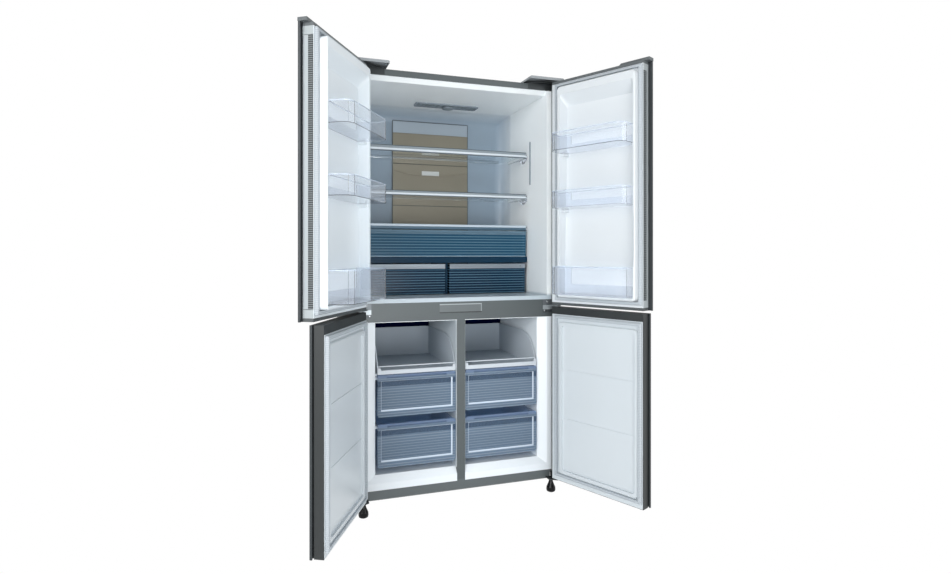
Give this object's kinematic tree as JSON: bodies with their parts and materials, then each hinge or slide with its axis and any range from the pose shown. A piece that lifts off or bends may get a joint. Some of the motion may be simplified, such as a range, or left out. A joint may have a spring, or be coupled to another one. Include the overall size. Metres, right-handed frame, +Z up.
{
  "type": "four-door refrigerator",
  "caption": "Free-standing refrigerator with paired upper doors over paired freezer doors, glass shelves, clear bins, crispers and freezer drawers, shown open.",
  "frame": {"origin": "floor level under the middle of the cabinet's front face", "axes": "+X to the right as one faces the open fridge, +Y from the front to the back, +Z up"},
  "size_m": [1.3504, 1.0495, 1.8325],
  "materials": {
    "painted_grey": "satin",
    "zinc_steel": "satin",
    "door_steel": "satin",
    "door_edge": "satin",
    "white_liner": "satin",
    "foam": "matte",
    "gasket_white": "matte",
    "dark_steel": "satin",
    "light_grey_plastic": "matte",
    "black_plastic": "satin",
    "bronze_panel": "satin",
    "shelf_glass": "gloss",
    "silver_trim": "satin",
    "clear_plastic": "gloss",
    "blue_clear_plastic": "gloss",
    "teal_clear_plastic": "gloss",
    "grey_plastic": "matte",
    "coil_aluminium": "satin",
    "black_steel": "satin"
  },
  "bodies": {
    "cabinet": {"cabinet_shell": "painted_grey", "back_panel": "zinc_steel", "base_pan": "zinc_steel", "cabinet_foam": "foam", "fridge_liner": "white_liner", "freezer_liner": "white_liner", "freezer_partition": "white_liner", "divider_rail": "painted_grey", "middle_beam": "painted_grey", "beam_cover_plate": "painted_grey", "plinth": "painted_grey", "hinge_brackets": "dark_steel", "top_hinge_covers": "light_grey_plastic", "hinge_screws": "dark_steel", "levelling_feet": "black_plastic", "duct_panel": "bronze_panel", "interior_lamps": "light_grey_plastic", "shelf_glasses": "shelf_glass", "shelf_trims": "silver_trim", "shelf_supports": "clear_plastic", "crisper_deck": "teal_clear_plastic", "evaporator_cover": "grey_plastic", "evaporator": "coil_aluminium", "compressor": "black_steel", "condenser": "coil_aluminium", "drip_tray": "grey_plastic", "control_box": "black_plastic", "bay_cover": "grey_plastic"},
    "upper_left_door": {"upper_left_door_frame": "door_edge", "upper_left_door_front_panel": "door_steel", "upper_left_door_liner": "white_liner", "upper_left_door_gasket": "gasket_white", "upper_left_door_bins": "clear_plastic"},
    "lower_left_door": {"lower_left_door_frame": "door_edge", "lower_left_door_front_panel": "door_steel", "lower_left_door_liner": "white_liner", "lower_left_door_gasket": "gasket_white"},
    "upper_right_door": {"upper_right_door_frame": "door_edge", "upper_right_door_front_panel": "door_steel", "upper_right_door_liner": "white_liner", "upper_right_door_gasket": "gasket_white", "upper_right_door_bins": "clear_plastic"},
    "lower_right_door": {"lower_right_door_frame": "door_edge", "lower_right_door_front_panel": "door_steel", "lower_right_door_liner": "white_liner", "lower_right_door_gasket": "gasket_white"},
    "flip_bar": {"flip_bar": "black_plastic"},
    "wide_drawer": {"wide_drawer": "teal_clear_plastic"},
    "crisper_left": {"crisper_left": "teal_clear_plastic"},
    "crisper_right": {"crisper_right": "teal_clear_plastic"},
    "freezer_tray_left": {"freezer_tray_left": "white_liner"},
    "freezer_tray_right": {"freezer_tray_right": "white_liner"},
    "upper_freezer_drawer_left": {"upper_freezer_drawer_left": "blue_clear_plastic"},
    "upper_freezer_drawer_right": {"upper_freezer_drawer_right": "blue_clear_plastic"},
    "lower_freezer_drawer_left": {"lower_freezer_drawer_left": "blue_clear_plastic"},
    "lower_freezer_drawer_right": {"lower_freezer_drawer_right": "blue_clear_plastic"},
    "evaporator_fan": {"evaporator_fan": "black_plastic"},
    "condenser_fan": {"condenser_fan": "black_plastic"},
    "rear_roller_left": {"rear_roller_left": "black_plastic"},
    "rear_roller_right": {"rear_roller_right": "black_plastic"}
  },
  "joints": [
    {"name": "upper_left_door_hinge", "type": "hinge", "parent": "cabinet", "child": "upper_left_door", "pos_m": [-0.4381, -0.0395, 1.3], "axis": [0, 0, -1], "range_deg": [-122.5, 7.5]},
    {"name": "lower_left_door_hinge", "type": "hinge", "parent": "cabinet", "child": "lower_left_door", "pos_m": [-0.4381, -0.0395, 0.45], "axis": [0, 0, -1], "range_deg": [-117, 13]},
    {"name": "upper_right_door_hinge", "type": "hinge", "parent": "cabinet", "child": "upper_right_door", "pos_m": [0.4381, -0.0395, 1.3], "axis": [0, 0, 1], "range_deg": [-116.8, 13.2]},
    {"name": "lower_right_door_hinge", "type": "hinge", "parent": "cabinet", "child": "lower_right_door", "pos_m": [0.4381, -0.0395, 0.45], "axis": [0, 0, 1], "range_deg": [-114.4, 15.6]},
    {"name": "flip_bar_hinge", "type": "hinge", "parent": "upper_left_door", "child": "flip_bar", "pos_m": [-0.64614, -0.39547, 1.325], "axis": [0, 0, -1], "range_deg": [-90, 0]},
    {"name": "wide_drawer_slide", "type": "slide", "parent": "cabinet", "child": "wide_drawer", "axis": [0, -1, 0], "range_m": [0, 0.29]},
    {"name": "crisper_left_slide", "type": "slide", "parent": "cabinet", "child": "crisper_left", "axis": [0, -1, 0], "range_m": [0, 0.29]},
    {"name": "crisper_right_slide", "type": "slide", "parent": "cabinet", "child": "crisper_right", "axis": [0, -1, 0], "range_m": [0, 0.29]},
    {"name": "freezer_tray_left_slide", "type": "slide", "parent": "cabinet", "child": "freezer_tray_left", "axis": [0, -1, 0], "range_m": [0, 0.38]},
    {"name": "freezer_tray_right_slide", "type": "slide", "parent": "cabinet", "child": "freezer_tray_right", "axis": [0, -1, 0], "range_m": [0, 0.38]},
    {"name": "upper_freezer_drawer_left_slide", "type": "slide", "parent": "cabinet", "child": "upper_freezer_drawer_left", "axis": [0, -1, 0], "range_m": [0, 0.38]},
    {"name": "upper_freezer_drawer_right_slide", "type": "slide", "parent": "cabinet", "child": "upper_freezer_drawer_right", "axis": [0, -1, 0], "range_m": [0, 0.38]},
    {"name": "lower_freezer_drawer_left_slide", "type": "slide", "parent": "cabinet", "child": "lower_freezer_drawer_left", "axis": [0, -1, 0], "range_m": [0, 0.33]},
    {"name": "lower_freezer_drawer_right_slide", "type": "slide", "parent": "cabinet", "child": "lower_freezer_drawer_right", "axis": [0, -1, 0], "range_m": [0, 0.33]},
    {"name": "evaporator_fan_spin", "type": "hinge", "parent": "cabinet", "child": "evaporator_fan", "pos_m": [-0.19, 0.478, 0.716], "axis": [0, 1, 0], "continuous": true},
    {"name": "condenser_fan_spin", "type": "hinge", "parent": "cabinet", "child": "condenser_fan", "pos_m": [-0.082, 0.516, 0.14], "axis": [1, 0, 0], "continuous": true},
    {"name": "rear_roller_left_spin", "type": "hinge", "parent": "cabinet", "child": "rear_roller_left", "pos_m": [-0.4, 0.54, 0.022], "axis": [1, 0, 0], "continuous": true},
    {"name": "rear_roller_right_spin", "type": "hinge", "parent": "cabinet", "child": "rear_roller_right", "pos_m": [0.4, 0.54, 0.022], "axis": [1, 0, 0], "continuous": true}
  ]
}
